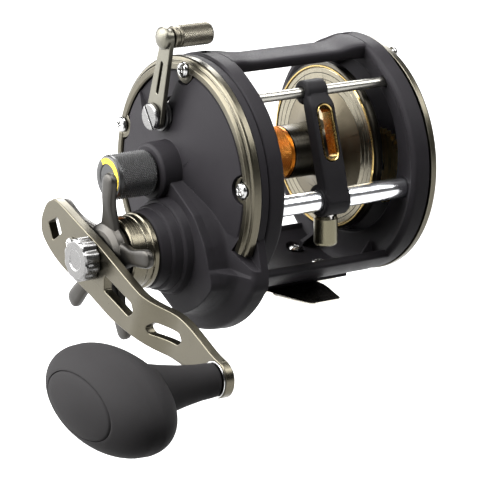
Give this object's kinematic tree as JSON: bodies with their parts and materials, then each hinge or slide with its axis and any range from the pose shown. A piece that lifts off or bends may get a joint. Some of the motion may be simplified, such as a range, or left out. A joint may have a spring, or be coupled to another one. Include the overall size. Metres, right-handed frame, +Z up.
{
  "type": "trolling reel",
  "caption": "Level-wind trolling reel: braced frame, geared spool, star drag, crank with oval grip, freespool lever, line guide and a clamp foot.",
  "frame": {"origin": "centre of the reel foot's underside, where it rests in a rod's seat", "axes": "+X along the spool from the handle side to the left side, +Y to the back of the reel, +Z up away from the rod"},
  "size_m": [0.1635, 0.1346, 0.1093],
  "materials": {
    "graphite": "satin moulded graphite composite, near black",
    "bronze": "bronze-grey anodised, lightly brushed",
    "gunmetal": "dark gunmetal anodised",
    "foot_metal": "dark plated stamping with polished edges",
    "steel": "satin stainless",
    "chrome": "bright polished tube",
    "brass": "machined brass",
    "orange": "orange anodised, diamond knurled",
    "rubber": "soft matte black grip rubber",
    "knurled_black": "black knurled cap with a yellow index mark",
    "fibre": "drag fibre"
  },
  "bodies": {
    "body": {"frame": "graphite", "handle_side_plate": "graphite", "handle_side_ring": "bronze", "ring_screw_1": "steel", "ring_screw_2": "steel", "ring_screw_3": "steel", "left_side_plate": "graphite", "left_ring": "bronze", "left_ring_screw_1": "steel", "left_ring_screw_2": "steel", "left_ring_screw_3": "steel", "reel_foot": "foot_metal", "foot_screw_1": "steel", "foot_screw_2": "steel", "foot_screw_3": "steel", "foot_screw_4": "steel", "bridge_plate": "steel", "gear_post": "steel", "sleeve_bearing": "steel", "spool_bearing_handle_side": "steel", "spool_bearing_left_side": "steel", "worm_shield": "chrome", "guide_rod": "steel", "lever_washer": "graphite"},
    "crank": {"drive_sleeve": "steel", "anti_reverse_ratchet": "steel", "main_gear": "brass", "drag_washer_fibre": "fibre", "drag_washer_steel": "steel", "handle_arm": "bronze", "handle_nut": "steel", "handle_lock_screw": "steel", "knob_spindle": "steel"},
    "star": {"star_drag": "gunmetal", "drag_collar": "bronze"},
    "knob": {"handle_knob": "rubber"},
    "spool_body": {"spool": "bronze", "line_grip_sleeve": "orange", "spool_shaft": "steel", "clutch_pin": "steel", "click_gear": "steel", "spool_drive_gear": "brass"},
    "yoke": {"clutch_yoke": "steel"},
    "pinion_body": {"pinion": "brass"},
    "lever": {"clutch_lever": "bronze", "lever_grip": "bronze", "lever_cap": "steel", "lever_screw": "steel", "clutch_cam": "steel"},
    "tension": {"tension_knob": "knurled_black"},
    "idler": {"idler_gear": "brass"},
    "worm": {"worm_shaft": "steel", "worm_gear": "brass"},
    "carriage": {"line_guide": "graphite", "line_guide_insert": "brass", "pawl_cap": "bronze"},
    "pawl_body": {"pawl": "steel"},
    "dog": {"anti_reverse_dog": "steel"},
    "click": {"click_button": "graphite", "click_tongue": "steel"}
  },
  "joints": [
    {"name": "crank_turn", "type": "hinge", "parent": "body", "child": "crank", "pos_m": [-0.0595, -0.0113, 0.0213], "axis": [1, 0, 0], "continuous": true},
    {"name": "spool_turn", "type": "hinge", "parent": "body", "child": "spool_body", "pos_m": [-0.0035, -0.004, 0.0439], "axis": [1, 0, 0], "continuous": true},
    {"name": "yoke_slide", "type": "slide", "parent": "body", "child": "yoke", "axis": [-1, 0, 0], "range_m": [0, 0.0016]},
    {"name": "pinion_turn", "type": "hinge", "parent": "yoke", "child": "pinion_body", "pos_m": [-0.0395, -0.004, 0.0439], "axis": [1, 0, 0], "continuous": true},
    {"name": "idler_turn", "type": "hinge", "parent": "body", "child": "idler", "pos_m": [0.0299, -0.02085, 0.03926], "axis": [1, 0, 0], "continuous": true},
    {"name": "worm_turn", "type": "hinge", "parent": "body", "child": "worm", "pos_m": [-0.0005, -0.0363, 0.035], "axis": [1, 0, 0], "continuous": true},
    {"name": "line_guide_slide", "type": "slide", "parent": "body", "child": "carriage", "axis": [1, 0, 0], "range_m": [-0.016, 0.018]},
    {"name": "pawl_swivel", "type": "hinge", "parent": "carriage", "child": "pawl_body", "pos_m": [-0.0028, -0.0363, 0.029], "axis": [0, 0, 1], "range_deg": [-20, 20]},
    {"name": "star_turn", "type": "hinge", "parent": "crank", "child": "star", "pos_m": [-0.0705, -0.0113, 0.0213], "axis": [1, 0, 0], "range_deg": [-170, 170]},
    {"name": "knob_spin", "type": "hinge", "parent": "crank", "child": "knob", "pos_m": [-0.0995, -0.07405, -0.00357], "axis": [1, 0, 0], "continuous": true},
    {"name": "lever_swing", "type": "hinge", "parent": "body", "child": "lever", "pos_m": [-0.0445, -0.0002, 0.0607], "axis": [-1, 0, 0], "range_deg": [0, 30]},
    {"name": "tension_turn", "type": "hinge", "parent": "body", "child": "tension", "pos_m": [-0.0575, -0.004, 0.0439], "axis": [1, 0, 0], "range_deg": [-180, 180]},
    {"name": "dog_swing", "type": "hinge", "parent": "body", "child": "dog", "pos_m": [-0.0355, 0.003, 0.031], "axis": [1, 0, 0], "range_deg": [0, 14]},
    {"name": "click_slide", "type": "slide", "parent": "body", "child": "click", "axis": [0, 0, 1], "range_m": [-0.004, 0]}
  ],
  "couplings": [
    {"joint": "spool_turn", "follows": "crank_turn", "ratio": -4},
    {"joint": "pinion_turn", "follows": "crank_turn", "ratio": -4},
    {"joint": "idler_turn", "follows": "crank_turn", "ratio": 2},
    {"joint": "worm_turn", "follows": "crank_turn", "ratio": -5.3333},
    {"joint": "yoke_slide", "follows": "lever_swing", "m_per_rad": 0.0030405}
  ]
}
